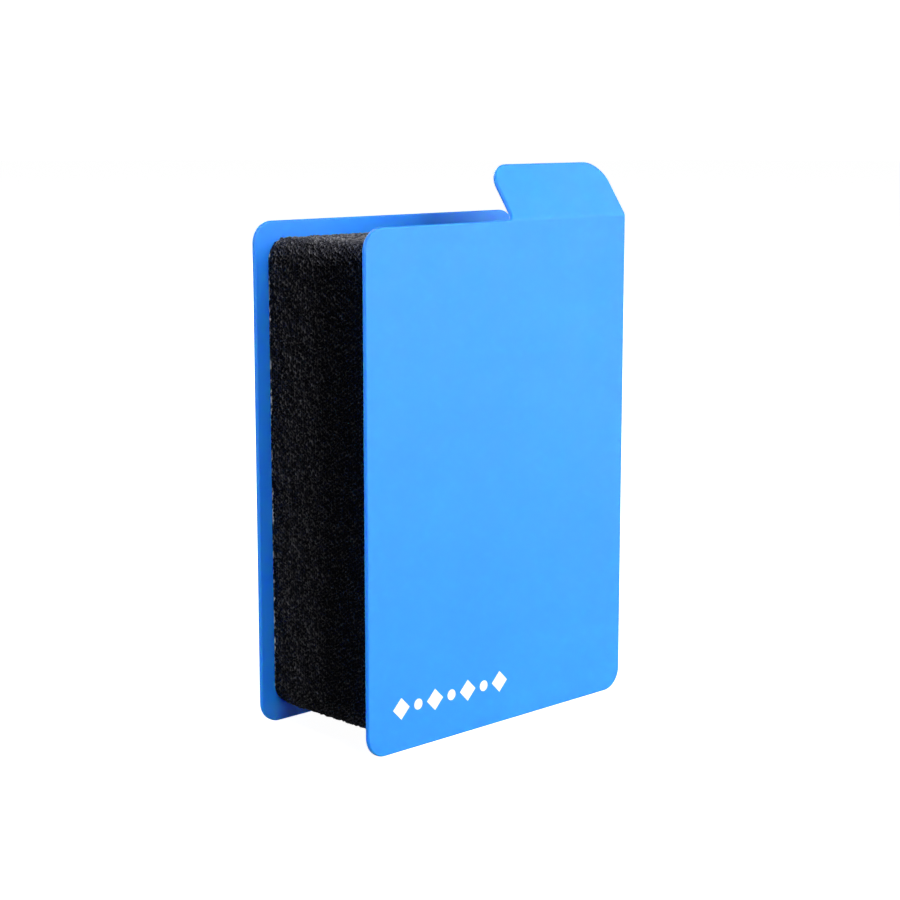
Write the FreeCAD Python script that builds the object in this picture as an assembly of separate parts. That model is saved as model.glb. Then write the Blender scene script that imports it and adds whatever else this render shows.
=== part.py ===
import FreeCAD, Part
import math
import os

# Card-box divider with a compressible foam spacer.
#
# Two sheets of plastic, the size of a sleeved card, stand upright on their lower edges. A block of
# open-cell foam is glued between them, so the divider gives when the box is full and springs back
# when it isn't. The front sheet carries an index tab that is bent back over the foam.
#
# Frame: millimetres, +Z up. The origin is at the middle of the footprint, on the surface that the
# sheets stand on. X runs across the cards, Y runs from the front sheet to the rear sheet.

# Driving dimensions
PLATE_WIDTH = 66.4
PLATE_HEIGHT = 93.0
SHEET = 0.95
OVERALL_DEPTH = 30.45
PLATE_CORNER_RADIUS = 4.0
SHEET_EDGE_RADIUS = 0.3

TAB_WIDTH = 30.3
TAB_LENGTH = 11.95
TAB_LEAN = math.radians(34.9)
TAB_CORNER_RADIUS = 4.6
TAB_FOOT_RADIUS = 1.6
CREASE_HEIGHT = 93.12
CREASE_OUTER_RADIUS = 1.5

FOAM_INSET = 3.0
FOAM_CORNER_RADIUS = 4.0
ADHESIVE = 0.15
ADHESIVE_MARGIN = 0.2  # how far the films stop short of the foam's edges
ADHESIVE_SHIFT = -0.2  # they lie a little too far left, so that they show along the left edge

MARK_LEFT = 5.8
MARK_BOTTOM = 5.9
MARK_LENGTH = 28.8
MARK_HEIGHT = 4.0
MARK_FIGURES = 7
MARK_DOT_DIAMETER = 2.0
MARK_RECESS = 0.04
FOIL = 0.03

# Derived places
LEFT = -PLATE_WIDTH / 2
RIGHT = PLATE_WIDTH / 2
FRONT = -OVERALL_DEPTH / 2
REAR = OVERALL_DEPTH / 2
FOAM_FRONT = FRONT + SHEET + ADHESIVE
FOAM_REAR = REAR - SHEET - ADHESIVE
CLEAR = 5.0  # how far a cutting prism reaches past what it cuts


def at_xz(x, z):
    return FreeCAD.Vector(x, 0, z)


def quarter_arc(centre_x, centre_z, radius, start_degrees):
    """A quarter circle in the XZ plane, turning left from start_degrees."""
    points = []
    for degrees in (start_degrees, start_degrees + 45, start_degrees + 90):
        angle = math.radians(degrees)
        points.append(at_xz(centre_x + radius * math.cos(angle), centre_z + radius * math.sin(angle)))
    return Part.Arc(*points).toShape()


def prism_along_y(edges, start, depth):
    """The solid under a closed outline in the XZ plane, from Y = start, depth thick."""
    face = Part.Face(Part.Wire(edges))
    face.translate(FreeCAD.Vector(0, start, 0))
    return face.extrude(FreeCAD.Vector(0, depth, 0))


def rounded_block(inset, radius, start, depth):
    """A block with the plates' outline, inset all round, with its four corners rounded about Y."""
    x0, x1 = LEFT + inset, RIGHT - inset
    z0, z1 = inset, PLATE_HEIGHT - inset
    edges = [
        Part.makeLine(at_xz(x0 + radius, z0), at_xz(x1 - radius, z0)),
        quarter_arc(x1 - radius, z0 + radius, radius, 270),
        Part.makeLine(at_xz(x1, z0 + radius), at_xz(x1, z1 - radius)),
        quarter_arc(x1 - radius, z1 - radius, radius, 0),
        Part.makeLine(at_xz(x1 - radius, z1), at_xz(x0 + radius, z1)),
        quarter_arc(x0 + radius, z1 - radius, radius, 90),
        Part.makeLine(at_xz(x0, z1 - radius), at_xz(x0, z0 + radius)),
        quarter_arc(x0 + radius, z0 + radius, radius, 180),
    ]
    return prism_along_y(edges, start, depth)


def soften(plate):
    """Rounds the sharp edges that the die leaves round the sheet."""
    return plate.makeFillet(SHEET_EDGE_RADIUS, sharp_edges(plate))


def sharp_edges(solid):
    """The edges at which two faces meet at more than 30 degrees."""
    found = []
    for edge in solid.Edges:
        faces = solid.ancestorsOfType(edge, Part.Face)
        if len(faces) != 2:
            continue
        middle = edge.valueAt((edge.FirstParameter + edge.LastParameter) / 2)
        normals = []
        for face in faces:
            u, v = face.Surface.parameter(middle)
            normals.append(face.normalAt(u, v))
        if normals[0].getAngle(normals[1]) > math.radians(30):
            found.append(edge)
    return found


def bent_sheet():
    """The front sheet's side view, flat and then bent back at the crease, drawn out to full width."""
    tangent = CREASE_OUTER_RADIUS * math.tan(TAB_LEAN / 2)
    bend_start = CREASE_HEIGHT - tangent
    inner_radius = CREASE_OUTER_RADIUS - SHEET
    centre_y = FRONT + CREASE_OUTER_RADIUS
    straight = TAB_LENGTH - tangent

    def on_bend(radius, angle):
        y = centre_y - radius * math.cos(angle)
        return FreeCAD.Vector(LEFT, y, bend_start + radius * math.sin(angle))

    along_tab = FreeCAD.Vector(0, math.sin(TAB_LEAN), math.cos(TAB_LEAN)) * straight
    outer = [on_bend(CREASE_OUTER_RADIUS, share * TAB_LEAN) for share in (0, 0.5, 1)]
    inner = [on_bend(inner_radius, share * TAB_LEAN) for share in (0, 0.5, 1)]
    tip_outer = outer[2] + along_tab
    tip_inner = inner[2] + along_tab
    foot_outer = FreeCAD.Vector(LEFT, FRONT, 0)
    foot_inner = FreeCAD.Vector(LEFT, FRONT + SHEET, 0)
    profile = Part.Wire([
        Part.makeLine(foot_outer, outer[0]),
        Part.Arc(*outer).toShape(),
        Part.makeLine(outer[2], tip_outer),
        Part.makeLine(tip_outer, tip_inner),
        Part.makeLine(tip_inner, inner[2]),
        Part.Arc(*reversed(inner)).toShape(),
        Part.makeLine(inner[0], foot_inner),
        Part.makeLine(foot_inner, foot_outer),
    ])
    return Part.Face(profile).extrude(FreeCAD.Vector(PLATE_WIDTH, 0, 0))


def front_outline():
    """The outline of the front sheet seen from the front, running up past the tab's tip."""
    corner = PLATE_CORNER_RADIUS
    foot = TAB_FOOT_RADIUS
    tab_left = RIGHT - TAB_WIDTH
    top = CREASE_HEIGHT + TAB_LENGTH + CLEAR
    middle_angle = math.radians(315)
    foot_x, foot_z = tab_left - foot, PLATE_HEIGHT + foot
    foot_arc = Part.Arc(
        at_xz(tab_left, foot_z),
        at_xz(foot_x + foot * math.cos(middle_angle), foot_z + foot * math.sin(middle_angle)),
        at_xz(foot_x, PLATE_HEIGHT),
    )
    return [
        Part.makeLine(at_xz(LEFT + corner, 0), at_xz(RIGHT - corner, 0)),
        quarter_arc(RIGHT - corner, corner, corner, 270),
        Part.makeLine(at_xz(RIGHT, corner), at_xz(RIGHT, top)),
        Part.makeLine(at_xz(RIGHT, top), at_xz(tab_left, top)),
        Part.makeLine(at_xz(tab_left, top), at_xz(tab_left, foot_z)),
        foot_arc.toShape(),
        Part.makeLine(at_xz(foot_x, PLATE_HEIGHT), at_xz(LEFT + corner, PLATE_HEIGHT)),
        quarter_arc(LEFT + corner, PLATE_HEIGHT - corner, corner, 90),
        Part.makeLine(at_xz(LEFT, PLATE_HEIGHT - corner), at_xz(LEFT, corner)),
        quarter_arc(LEFT + corner, corner, corner, 180),
    ]


def front_plate():
    """The front sheet, with the recess that the hot stamp presses into it."""
    outline = prism_along_y(front_outline(), FRONT - CLEAR, OVERALL_DEPTH)
    sheet = bent_sheet().common(outline).Solids[0]
    tip = sheet.BoundBox.ZMax - TAB_CORNER_RADIUS
    tip_corners = []
    for edge in sheet.Edges:
        across = edge.Length < SHEET * 1.01 and edge.BoundBox.ZMin > tip
        if across and edge.BoundBox.XLength < SHEET / 100:
            tip_corners.append(edge)
    plate = soften(sheet.makeFillet(TAB_CORNER_RADIUS, tip_corners))
    return plate.cut(mark_figures(FRONT, MARK_RECESS))


def rear_plate():
    return soften(rounded_block(0.0, PLATE_CORNER_RADIUS, REAR - SHEET, SHEET))


def foam_block():
    return rounded_block(FOAM_INSET, FOAM_CORNER_RADIUS, FOAM_FRONT, FOAM_REAR - FOAM_FRONT)


def adhesive_sheet(start):
    sheet = rounded_block(FOAM_INSET + ADHESIVE_MARGIN, FOAM_CORNER_RADIUS, start, ADHESIVE)
    sheet.translate(FreeCAD.Vector(ADHESIVE_SHIFT, 0, 0))
    return sheet


def mark_figures(start, depth):
    """A row of diamonds with dots between them, at the lower left of the front sheet."""
    pitch = (MARK_LENGTH - MARK_HEIGHT) / (MARK_FIGURES - 1)
    half = MARK_HEIGHT / 2
    middle_z = MARK_BOTTOM + half
    figures = []
    for number in range(MARK_FIGURES):
        middle_x = LEFT + MARK_LEFT + half + number * pitch
        if number % 2 == 0:
            corners = [
                at_xz(middle_x, middle_z - half),
                at_xz(middle_x + half, middle_z),
                at_xz(middle_x, middle_z + half),
                at_xz(middle_x - half, middle_z),
            ]
            edges = [Part.makeLine(corners[i - 1], corners[i]) for i in range(len(corners))]
        else:
            centre = at_xz(middle_x, middle_z)
            edges = [Part.makeCircle(MARK_DOT_DIAMETER / 2, centre, FreeCAD.Vector(0, 1, 0))]
        figures.append(prism_along_y(edges, start, depth))
    return Part.makeCompound(figures)


def printed_mark():
    """The white foil, which lies at the bottom of the stamped recess."""
    return mark_figures(FRONT + MARK_RECESS - FOIL, FOIL)


NODES = {
    "front_plate": front_plate(),
    "rear_plate": rear_plate(),
    "foam_block": foam_block(),
    "front_adhesive_sheet": adhesive_sheet(FRONT + SHEET),
    "rear_adhesive_sheet": adhesive_sheet(FOAM_REAR),
    "printed_mark": printed_mark(),
}

os.makedirs("parts", exist_ok=True)
for name, shape in NODES.items():
    shape.exportStep(f"parts/{name}.step")
    box = shape.optimalBoundingBox()
    print(
        f"{name}: valid {shape.isValid()}, {len(shape.Solids)} solid(s), {shape.Volume:.1f} mm3, "
        f"X {box.XMin:.3f} to {box.XMax:.3f}, Y {box.YMin:.3f} to {box.YMax:.3f}, "
        f"Z {box.ZMin:.3f} to {box.ZMax:.3f}"
    )
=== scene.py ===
import math

import bpy
import numpy as np
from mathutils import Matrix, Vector


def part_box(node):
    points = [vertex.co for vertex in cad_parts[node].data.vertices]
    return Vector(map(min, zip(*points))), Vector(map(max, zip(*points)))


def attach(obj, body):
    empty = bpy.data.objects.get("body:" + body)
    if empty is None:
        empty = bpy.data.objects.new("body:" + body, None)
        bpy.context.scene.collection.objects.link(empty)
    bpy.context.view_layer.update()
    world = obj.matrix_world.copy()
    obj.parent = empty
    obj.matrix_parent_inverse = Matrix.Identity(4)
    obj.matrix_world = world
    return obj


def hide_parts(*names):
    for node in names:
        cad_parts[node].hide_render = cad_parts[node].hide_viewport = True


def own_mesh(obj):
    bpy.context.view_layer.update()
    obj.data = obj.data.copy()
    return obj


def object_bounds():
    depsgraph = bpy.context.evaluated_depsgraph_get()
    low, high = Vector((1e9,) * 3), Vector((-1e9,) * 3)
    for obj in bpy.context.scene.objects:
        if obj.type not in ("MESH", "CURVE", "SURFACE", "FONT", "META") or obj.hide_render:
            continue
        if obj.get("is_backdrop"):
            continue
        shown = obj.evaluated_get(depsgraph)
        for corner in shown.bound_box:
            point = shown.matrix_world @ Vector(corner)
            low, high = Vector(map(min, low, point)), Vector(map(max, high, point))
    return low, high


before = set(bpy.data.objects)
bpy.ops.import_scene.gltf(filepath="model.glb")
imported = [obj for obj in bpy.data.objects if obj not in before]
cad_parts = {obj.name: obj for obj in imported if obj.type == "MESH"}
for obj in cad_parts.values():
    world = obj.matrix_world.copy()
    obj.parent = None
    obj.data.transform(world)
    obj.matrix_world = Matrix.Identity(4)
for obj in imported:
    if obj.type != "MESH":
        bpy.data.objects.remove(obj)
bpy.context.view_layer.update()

# Card-box divider: blue plastic plates, a black open-cell foam block between them, a white foil mark.
# Everything is in metres in the CAD frame: +Z up, the front plate faces -Y, the rear plate +Y.

MM = 0.001

# Camera: where it looks from, and the point that it looks at, measured from the object's middle
CAMERA_AZIMUTH = math.radians(-44.173)
CAMERA_ELEVATION = math.radians(9.652)
CAMERA_DISTANCE = 0.37325
CAMERA_AIM = Vector((0.00051, -0.00091, -0.00177))
LENS = 79.49
SENSOR_WIDTH = 36.0
CLIP_START, CLIP_END = 0.01, 100.0

# Lights: azimuth and elevation in degrees, width and height in metres, power in watts
SOFTBOXES = {
    "front": (17, 14, 0.9, 0.7, 12.0),
    "front_left": (-10.5, 14, 0.135, 0.6, 4.2),
    "front_right": (62, -5, 0.5, 0.5, 2.0),
    "upper_front": (0, 55, 0.5, 0.5, 4.0),
    "right": (80, 28, 0.5, 0.5, 2.6),
    "rear": (165, 20, 0.5, 0.5, 8.4),
    "left": (-108, 20, 0.4, 0.5, 9.0),
    "below": (-160, -75, 0.6, 0.6, 2.2),
}
PLATES_ONLY = ("left",)     # lamps for the plates alone: real sheet also carries light to its edges
SOFTBOX_DISTANCE = 1.1
SURROUND = 0.027            # strength of the even light from all round
FLOOR_REFLECTION = 0.8
FLOOR_GLOW = 0.97
DOME_GLOW = 1.2
STAGE_RADIUS = 4.5
STAGE_SEGMENTS = 96
FLOOR_GAP = 0.02 * MM       # keeps the floor out of the plates' lower edges

# Foam
FOAM_SEED = 7
CELL = 0.70 * MM            # middle to middle of neighbouring cells
CELL_JITTER = 0.46          # share of a cell by which its middle strays
WARP = 0.24 * MM            # slow drift of the cells, which makes some larger than others
WARP_WAVES = (2.5 * MM, 7 * MM)     # shortest and longest wave of that drift
FLOOR_SHARE = 0.50          # size of a pit's floor, as a share of its cell
PIT_DEPTH = 0.40 * MM
OPEN_PITS = (0.4, 1.2)      # least and greatest depth of a pit, as shares of PIT_DEPTH
CLOSED_PITS = (0.1, 0.3)    # the same for cells that still have their skin
CLOSED_SHARE = 0.15         # share of the cells that still have it
FLOOR_TILT = 0.15           # share by which the corners of a pit's floor differ in depth
STRUT_NOISE = 0.07 * MM     # how far the struts' joints stand out of or behind the cut face
PROUD_SHARE = 0.36          # share of the joints whose cut struts stand out of the face
PROUD = 0.20 * MM           # how far the proudest stand out
LEAST_PROUD = 0.5           # how far the least proud of them do, as a share of PROUD
EDGE_NOISE = 0.22 * MM      # the same as STRUT_NOISE, along the edges glued to the plates
EDGE_GAP = 0.08 * MM        # how far the other joints stay from those edges
SWELL = 0.08 * MM           # slow unevenness of the cut face
SWELL_WAVES = (4 * MM, 12 * MM)     # shortest and longest wave of that unevenness
DRAWN_IN = 0.16 * MM        # how far the glue draws the sides in along the plates
DRAWN_POWER = 14            # high, so only the last few millimetres are drawn in
FOAM_CORNER = 4.0 * MM      # radius of the block's four corners

REAR_BODY = "rear_half"


# --- small helpers for shader nodes -------------------------------------------------------------

def new_material(name):
    """A node material with only a Principled shader and an output, and those nodes' tree."""
    material = bpy.data.materials.new(name)
    material.use_nodes = True
    tree = material.node_tree
    tree.nodes.clear()
    shader = tree.nodes.new("ShaderNodeBsdfPrincipled")
    output = tree.nodes.new("ShaderNodeOutputMaterial")
    tree.links.new(shader.outputs["BSDF"], output.inputs["Surface"])
    return material, tree, shader


def object_noise(tree, scale, detail=3.0, roughness=0.5):
    """Noise that is fixed to the object, with scale in cycles per metre."""
    place = tree.nodes.new("ShaderNodeTexCoord")
    noise = tree.nodes.new("ShaderNodeTexNoise")
    noise.inputs["Scale"].default_value = scale
    noise.inputs["Detail"].default_value = detail
    noise.inputs["Roughness"].default_value = roughness
    tree.links.new(place.outputs["Object"], noise.inputs["Vector"])
    return noise.outputs["Fac"]


def ramp_between(tree, factor, low, high, start=0.0, end=1.0):
    """A colour that goes from low to high as factor goes from start to end."""
    ramp = tree.nodes.new("ShaderNodeValToRGB")
    ramp.color_ramp.elements[0].position = start
    ramp.color_ramp.elements[0].color = (*low, 1)
    ramp.color_ramp.elements[1].position = end
    ramp.color_ramp.elements[1].color = (*high, 1)
    tree.links.new(factor, ramp.inputs["Fac"])
    return ramp.outputs["Color"]


def range_between(tree, factor, low, high, start=0.0, end=1.0):
    """A number that goes from low to high as factor goes from start to end."""
    spread = tree.nodes.new("ShaderNodeMapRange")
    spread.inputs["From Min"].default_value = start
    spread.inputs["From Max"].default_value = end
    spread.inputs["To Min"].default_value = low
    spread.inputs["To Max"].default_value = high
    tree.links.new(factor, spread.inputs["Value"])
    return spread.outputs["Result"]


def bump(tree, shader, height, strength, distance, below=None):
    """Relief on the shader's normal, over the relief that an earlier call returned."""
    node = tree.nodes.new("ShaderNodeBump")
    node.inputs["Strength"].default_value = strength
    node.inputs["Distance"].default_value = distance
    tree.links.new(height, node.inputs["Height"])
    if below:
        tree.links.new(below, node.inputs["Normal"])
    tree.links.new(node.outputs["Normal"], shader.inputs["Normal"])
    return node.outputs["Normal"]


# --- materials ----------------------------------------------------------------------------------

def plate_plastic():
    """Sky-blue polypropylene sheet: even colour, a fine matt grain, slightly uneven gloss."""
    material, tree, shader = new_material("blue_polypropylene")
    cloud = object_noise(tree, 45.0)
    colour = ramp_between(tree, cloud, (0.0120, 0.280, 0.96), (0.0128, 0.296, 0.98), 0.3, 0.7)
    tree.links.new(colour, shader.inputs["Base Color"])
    gloss = object_noise(tree, 160.0)
    roughness = range_between(tree, gloss, 0.46, 0.56, 0.3, 0.7)
    tree.links.new(roughness, shader.inputs["Roughness"])
    grain = object_noise(tree, 5200.0, detail=2.0)
    bump(tree, shader, grain, 0.10, 0.02 * MM)
    shader.inputs["IOR"].default_value = 1.49
    shader.inputs["Subsurface Weight"].default_value = 1.0
    shader.inputs["Subsurface Radius"].default_value = (0.1, 0.3, 0.8)
    shader.inputs["Subsurface Scale"].default_value = MM
    return material


def foam_rubber():
    """Black open-cell foam: painted shade in the pits, and painted glints that lighten the struts the
    more they stand out.
    """
    material, tree, shader = new_material("black_foam")
    strut = tree.nodes.new("ShaderNodeAttribute")
    strut.attribute_name = "strut"
    height = strut.outputs["Fac"]
    patches = object_noise(tree, 2600.0, detail=1.0)
    shade = tree.nodes.new("ShaderNodeMath")
    shade.operation = "MULTIPLY"
    tree.links.new(height, shade.inputs[0])
    tree.links.new(range_between(tree, patches, 0.36, 0.50, 0.4, 0.6), shade.inputs[1])
    # Colour: the pits are darker as painted shade, and the proudest strut tips are lighter as painted
    # glints, varied at random by the patches.
    pit, glint_tip = (0.050, 0.052, 0.076), (0.50, 0.49, 0.52)
    colour = ramp_between(tree, shade.outputs["Value"], pit, glint_tip, 0.32, 1.0)
    tree.links.new(colour, shader.inputs["Base Color"])
    roughness = range_between(tree, height, 0.80, 0.40, 0.1, 1.2)
    tree.links.new(roughness, shader.inputs["Roughness"])
    shader.inputs["Specular IOR Level"].default_value = 0.3
    rounding = bump(tree, shader, height, 1.0, 0.30 * MM)
    skin = object_noise(tree, 4200.0, detail=3.0, roughness=0.6)
    bump(tree, shader, skin, 1.0, 0.12 * MM, rounding)
    return material


def adhesive_film():
    """Whitish double-sided film, with dark spots where bits of foam stick to it."""
    material, tree, shader = new_material("adhesive_film")
    spots = object_noise(tree, 900.0)
    colour = ramp_between(tree, spots, (0.05, 0.05, 0.055), (0.80, 0.81, 0.82), 0.46, 0.58)
    tree.links.new(colour, shader.inputs["Base Color"])
    tree.links.new(range_between(tree, spots, 0.25, 0.5), shader.inputs["Roughness"])
    return material


def white_foil():
    """Hot-stamped white foil: opaque, slightly dry, with a little mottle."""
    material, tree, shader = new_material("white_foil")
    mottle = object_noise(tree, 1400.0)
    colour = ramp_between(tree, mottle, (0.88, 0.89, 0.90), (0.95, 0.95, 0.95), 0.3, 0.7)
    tree.links.new(colour, shader.inputs["Base Color"])
    tree.links.new(range_between(tree, mottle, 0.40, 0.55), shader.inputs["Roughness"])
    bump(tree, shader, mottle, 0.15, 0.01 * MM)
    return material


# --- foam ---------------------------------------------------------------------------------------

def rounded_outline(distance, low, high, radius):
    """Points and outward directions at distances round a rounded rectangle in the XZ plane."""
    centres = [
        np.array((high.x - radius, low.z + radius)),
        np.array((high.x - radius, high.z - radius)),
        np.array((low.x + radius, high.z - radius)),
        np.array((low.x + radius, low.z + radius)),
    ]
    width = high.x - low.x - 2 * radius
    height = high.z - low.z - 2 * radius
    quarter = math.pi / 2 * radius
    points = np.zeros((len(distance), 2))
    normals = np.zeros((len(distance), 2))
    begin = 0.0
    for side, run in enumerate((width, height, width, height)):
        heading = side * math.pi / 2
        forward = np.array((math.cos(heading), math.sin(heading)))
        outward = np.array((math.sin(heading), -math.cos(heading)))
        along = distance - begin
        straight = (along >= 0) & (along < run)
        points[straight] = centres[side - 1] + outward * radius + np.outer(along[straight], forward)
        normals[straight] = outward
        begin += run
        turn = (distance - begin) / radius
        curved = (turn >= 0) & (turn <= math.pi / 2)
        angle = heading - math.pi / 2 + turn[curved]
        normals[curved] = np.stack((np.cos(angle), np.sin(angle)), axis=1)
        points[curved] = centres[side] + radius * normals[curved]
        begin += quarter
    return points, normals


def slow_waves(rng, points, shortest, longest, count=14):
    """Smooth random unevenness between about -1 and 1, from a few plane waves."""
    total = np.zeros(len(points))
    for _ in range(count):
        direction = rng.normal(size=3)
        direction /= np.linalg.norm(direction)
        length = rng.uniform(shortest, longest)
        total += np.sin(points @ direction * (2 * math.pi / length) + rng.uniform(0, 2 * math.pi))
    return total / math.sqrt(count)


def cell_middles(rng, perimeter, thickness, rows, columns):
    """Middles of the cells in staggered rows, with one spare row outside each edge.

    Places on the block's unrolled side are (distance round it, distance across it).
    """
    along, across = perimeter / columns, thickness / rows
    row, column = np.meshgrid(np.arange(-1, rows + 1), np.arange(columns), indexing="ij")
    middles = np.stack(((column + 0.5 * (row % 2)) * along, (row + 0.5) * across), axis=-1)
    turn = 2 * math.pi * middles[..., 0].ravel() / perimeter
    radius = perimeter / (2 * math.pi)
    ring = np.stack((radius * np.cos(turn), radius * np.sin(turn), middles[..., 1].ravel()), axis=1)
    for direction, spacing in enumerate((along, across)):
        drift = WARP * slow_waves(rng, ring, *WARP_WAVES).reshape(row.shape)
        middles[..., direction] += drift
        middles[..., direction] += rng.uniform(-1, 1, row.shape) * CELL_JITTER * spacing
    return middles


def middle_of(middles, perimeter, j, i):
    """The middle of cell i in row j, carried on round the block past the last column."""
    laps, place = divmod(i, middles.shape[1])
    return middles[j + 1, place] + np.array((laps * perimeter, 0.0))


def strut_joints(middles, perimeter, thickness, rows, columns):
    """Joints of the struts, each amid three neighbouring cells, two in one row and one in the next."""
    joints = np.zeros((rows + 1, columns, 2, 2))
    for j in range(-1, rows):
        stagger = j % 2
        for i in range(columns):
            lower = ((j, i), (j, i + 1), (j + 1, i + stagger))
            upper = ((j + 1, i), (j + 1, i + 1), (j, i + 1 - stagger))
            for which, cells in enumerate((lower, upper)):
                around = [middle_of(middles, perimeter, *cell) for cell in cells]
                joints[j + 1, i, which] = sum(around) / 3
    joints[..., 1] = joints[..., 1].clip(EDGE_GAP, thickness - EDGE_GAP)
    joints[0, :, :, 1] = 0.0
    joints[rows, :, :, 1] = thickness
    return joints


def joint_number(layer, i, which, columns):
    """A joint's place in the list of all joints, which holds two for each cell of a layer."""
    return (layer * columns + i % columns) * 2 + which


def corners_of(j, i, columns):
    """The numbers of the six joints round cell i of row j, in order."""
    low = ((j, i - 1, 1), (j, i - 1, 0), (j, i, 1))
    high = ((j + 1, i, 0), (j + 1, i - 1, 1), (j + 1, i - 1, 0))
    if j % 2:
        low = ((j, i - 1, 1), (j, i, 0), (j, i, 1))
        high = ((j + 1, i, 0), (j + 1, i, 1), (j + 1, i - 1, 0))
    return [joint_number(*joint, columns) for joint in high + low]


def pit_floors(rng, joint_places, middles, perimeter, rows, columns):
    """Every pit's three-cornered floor, turned one way or the other at random, and the pits' faces."""
    faces, floor_places = [], []
    turned = rng.integers(0, 2, (rows, columns))
    for j in range(rows):
        for i in range(columns):
            corners = np.roll(corners_of(j, i, columns), turned[j, i])
            places = joint_places[corners]
            laps = np.round((middle_of(middles, perimeter, j, i)[0] - places[:, 0]) / perimeter)
            places[:, 0] += perimeter * laps
            middle = places.mean(axis=0)
            floor = len(joint_places) + len(floor_places) + np.arange(3)
            floor_places.extend(middle + (places[::2] - middle) * FLOOR_SHARE)
            for k in range(3):
                here, between, after = corners[2 * k], corners[2 * k + 1], corners[(2 * k + 2) % 6]
                faces.append((here, floor[k], between))
                faces.append((between, floor[(k + 1) % 3], after))
                faces.append((between, floor[k], floor[(k + 1) % 3]))
            faces.append(tuple(floor[::-1]))
    return np.array(floor_places), faces


def floor_depths(rng, cells):
    """How deep each corner of each pit's floor lies."""
    pit_scale = rng.uniform(*OPEN_PITS, cells)
    closed = rng.uniform(size=cells) < CLOSED_SHARE
    pit_scale[closed] = rng.uniform(*CLOSED_PITS, closed.sum())
    return PIT_DEPTH * np.repeat(pit_scale, 3) * rng.uniform(1 - FLOOR_TILT, 1 + FLOOR_TILT, 3 * cells)


def joint_depths(rng, rows, columns):
    """How far each joint lies behind the cut face, and how proud it stands, from 0 to 1."""
    noise = np.full((rows + 1, columns, 2), STRUT_NOISE)
    noise[[0, rows]] = EDGE_NOISE
    proud = rng.uniform(LEAST_PROUD, 1.0, noise.shape) * (rng.uniform(size=noise.shape) < PROUD_SHARE)
    proud[[0, rows]] = 0.0
    depths = noise.ravel() * rng.uniform(-1, 1, noise.size) - PROUD * proud.ravel()
    return depths, proud.ravel()


def foam_cells(rng, perimeter, thickness):
    """The cell pattern on the block's unrolled side.

    Returns (places, depths, struts, faces, edge_rings): places are (distance round, distance
    across), depths are inwards, struts is 0 on a pit's floor, 1 on a strut and up to 2 on a proud
    one, and edge_rings are the joints along the two glued edges.
    """
    columns = round(perimeter / CELL)
    rows = round(thickness / (CELL * math.sqrt(3) / 2))
    middles = cell_middles(rng, perimeter, thickness, rows, columns)
    joints = strut_joints(middles, perimeter, thickness, rows, columns).reshape(-1, 2)
    floors, faces = pit_floors(rng, joints, middles, perimeter, rows, columns)
    pit_depths = floor_depths(rng, rows * columns)
    strut_depths, proud = joint_depths(rng, rows, columns)
    places = np.concatenate((joints, floors))
    depths = np.concatenate((strut_depths, pit_depths))
    struts = np.concatenate((1 + proud, np.zeros(len(floors))))
    edge_rings = []
    for layer in (0, rows):
        order = (0, 1) if layer % 2 else (1, 0)
        ring = [joint_number(layer, i, which, columns) for i in range(columns) for which in order]
        edge_rings.append(ring)
    return places, depths, struts, faces, edge_rings


def foam_block():
    """The foam as one closed mesh, cell by cell round its sides and flat where it is glued."""
    rng = np.random.default_rng(FOAM_SEED)
    low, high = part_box("foam_block")
    radius = FOAM_CORNER
    perimeter = 2 * (high.x - low.x + high.z - low.z) - (8 - 2 * math.pi) * radius
    thickness = high.y - low.y
    places, depths, struts, faces, edge_rings = foam_cells(rng, perimeter, thickness)
    points, normals = rounded_outline(places[:, 0] % perimeter, low, high, radius)
    half = thickness / 2
    from_middle = np.abs(places[:, 1] - half) / half
    inset = depths + DRAWN_IN * from_middle ** DRAWN_POWER
    surface = np.stack((points[:, 0], low.y + places[:, 1], points[:, 1]), axis=1)
    inset -= SWELL * slow_waves(rng, surface, *SWELL_WAVES)
    surface[:, 0] -= normals[:, 0] * inset
    surface[:, 2] -= normals[:, 1] * inset
    faces.append(tuple(edge_rings[0]))
    faces.append(tuple(reversed(edge_rings[1])))
    mesh = bpy.data.meshes.new("foam_block_cells")
    mesh.from_pydata(surface.tolist(), [], [[int(corner) for corner in face] for face in faces])
    mesh.validate()
    mesh.update()
    strut = mesh.attributes.new("strut", "FLOAT", "POINT")
    strut.data.foreach_set("value", struts.astype(np.float32))
    mesh.polygons.foreach_set("use_smooth", [len(face) == 3 for face in faces])
    foam = bpy.data.objects.new("foam_block_cells", mesh)
    bpy.context.scene.collection.objects.link(foam)
    foam.data.materials.append(foam_rubber())
    return foam


# --- stage --------------------------------------------------------------------------------------

def add_camera():
    low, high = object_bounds()
    aim = (low + high) / 2 + CAMERA_AIM
    back = Vector((
        math.sin(CAMERA_AZIMUTH) * math.cos(CAMERA_ELEVATION),
        -math.cos(CAMERA_AZIMUTH) * math.cos(CAMERA_ELEVATION),
        math.sin(CAMERA_ELEVATION),
    ))
    data = bpy.data.cameras.new("camera")
    data.lens = LENS
    data.sensor_width = SENSOR_WIDTH
    data.clip_start = CLIP_START
    data.clip_end = CLIP_END
    camera = bpy.data.objects.new("camera", data)
    camera.location = aim + back * CAMERA_DISTANCE
    camera.rotation_mode = "QUATERNION"
    camera.rotation_quaternion = (-back).to_track_quat("-Z", "Y")
    bpy.context.scene.collection.objects.link(camera)
    bpy.context.scene.camera = camera


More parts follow.
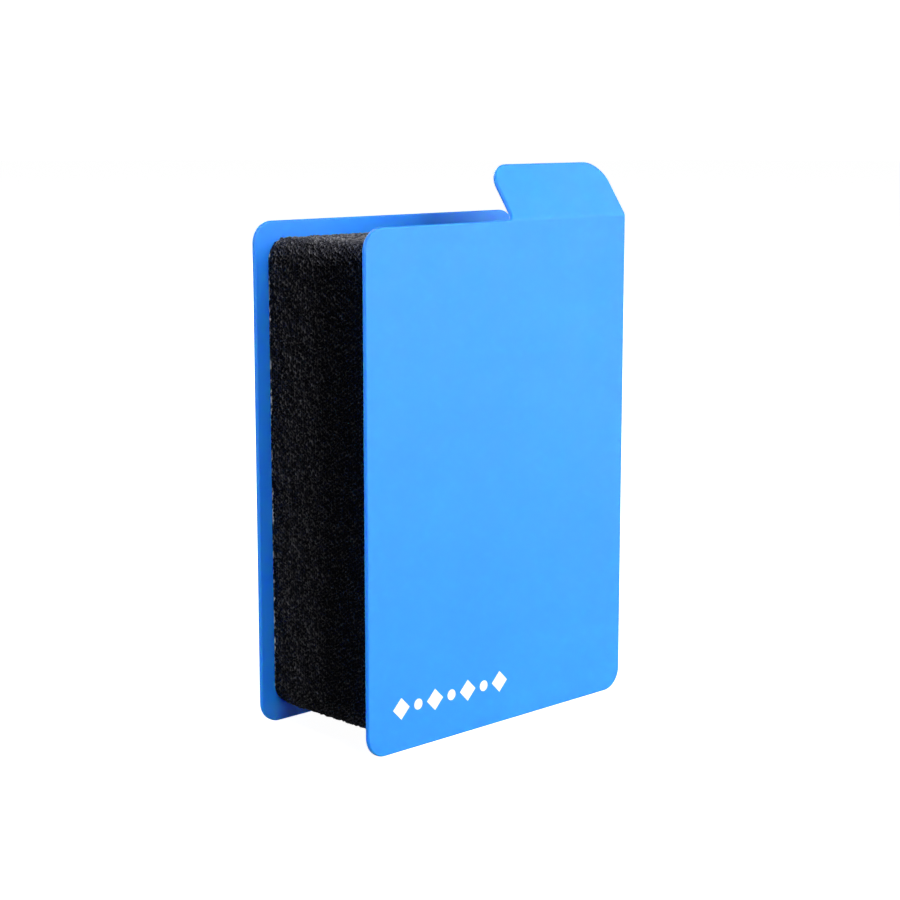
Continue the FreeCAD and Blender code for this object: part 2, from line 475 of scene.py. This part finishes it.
def add_softbox(name, azimuth, elevation, width, height, power):
    """An area light that faces the object; azimuth 0 is in front, 90 is at the right."""
    data = bpy.data.lights.new(name, "AREA")
    data.shape = "RECTANGLE"
    data.size = width
    data.size_y = height
    data.energy = power
    a, e = math.radians(azimuth), math.radians(elevation)
    towards = Vector((math.sin(a) * math.cos(e), -math.cos(a) * math.cos(e), math.sin(e)))
    light = bpy.data.objects.new(name, data)
    low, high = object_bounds()
    light.location = (low + high) / 2 + towards * SOFTBOX_DISTANCE
    light.rotation_mode = "QUATERNION"
    light.rotation_quaternion = (-towards).to_track_quat("-Z", "Y")
    bpy.context.scene.collection.objects.link(light)
    if name in PLATES_ONLY:
        plates = bpy.data.collections.new("plates")
        for node in ("front_plate", "rear_plate"):
            plates.objects.link(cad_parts[node])
        light.light_linking.receiver_collection = plates


def stage_piece(name, reflection, glow):
    """Finishes the mesh that was just added as a white backdrop that throws no light on the object."""
    piece = bpy.context.object
    piece.name = name
    material, tree, shader = new_material(name)
    shader.inputs["Base Color"].default_value = (reflection, reflection, reflection, 1)
    shader.inputs["Specular IOR Level"].default_value = 0.0
    shader.inputs["Roughness"].default_value = 1.0
    shader.inputs["Emission Color"].default_value = (1, 1, 1, 1)
    shader.inputs["Emission Strength"].default_value = glow
    piece.data.materials.append(material)
    piece.visible_diffuse = False
    piece.visible_glossy = False
    piece.visible_transmission = False
    piece.visible_shadow = False
    piece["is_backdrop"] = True


def add_stage():
    """A white floor that takes a faint shadow, under a white dome, in a dim even surround."""
    bpy.ops.mesh.primitive_circle_add(
        vertices=STAGE_SEGMENTS, radius=STAGE_RADIUS, fill_type="NGON", location=(0, 0, -FLOOR_GAP)
    )
    stage_piece("floor", FLOOR_REFLECTION, FLOOR_GLOW)
    bpy.ops.mesh.primitive_uv_sphere_add(
        segments=STAGE_SEGMENTS, ring_count=STAGE_SEGMENTS // 2, radius=STAGE_RADIUS
    )
    stage_piece("dome", 0.0, DOME_GLOW)
    world = bpy.data.worlds.new("world")
    world.use_nodes = True
    background = world.node_tree.nodes["Background"]
    background.inputs["Color"].default_value = (1, 1, 1, 1)
    background.inputs["Strength"].default_value = SURROUND
    bpy.context.scene.world = world


# --- making -------------------------------------------------------------------------------------

scene = bpy.context.scene
scene.view_settings.view_transform = "Standard"
add_camera()
add_stage()
for name, softbox in SOFTBOXES.items():
    add_softbox(name, *softbox)

finishes = {
    "front_plate": plate_plastic(),
    "front_adhesive_sheet": adhesive_film(),
    "printed_mark": white_foil(),
}
finishes["rear_plate"] = finishes["front_plate"]
finishes["rear_adhesive_sheet"] = finishes["front_adhesive_sheet"]
for node, material in finishes.items():
    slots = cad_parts[node].data.materials
    slots.clear()
    slots.append(material)

foam = foam_block()
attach(foam, REAR_BODY)
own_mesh(foam)
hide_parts("foam_block")
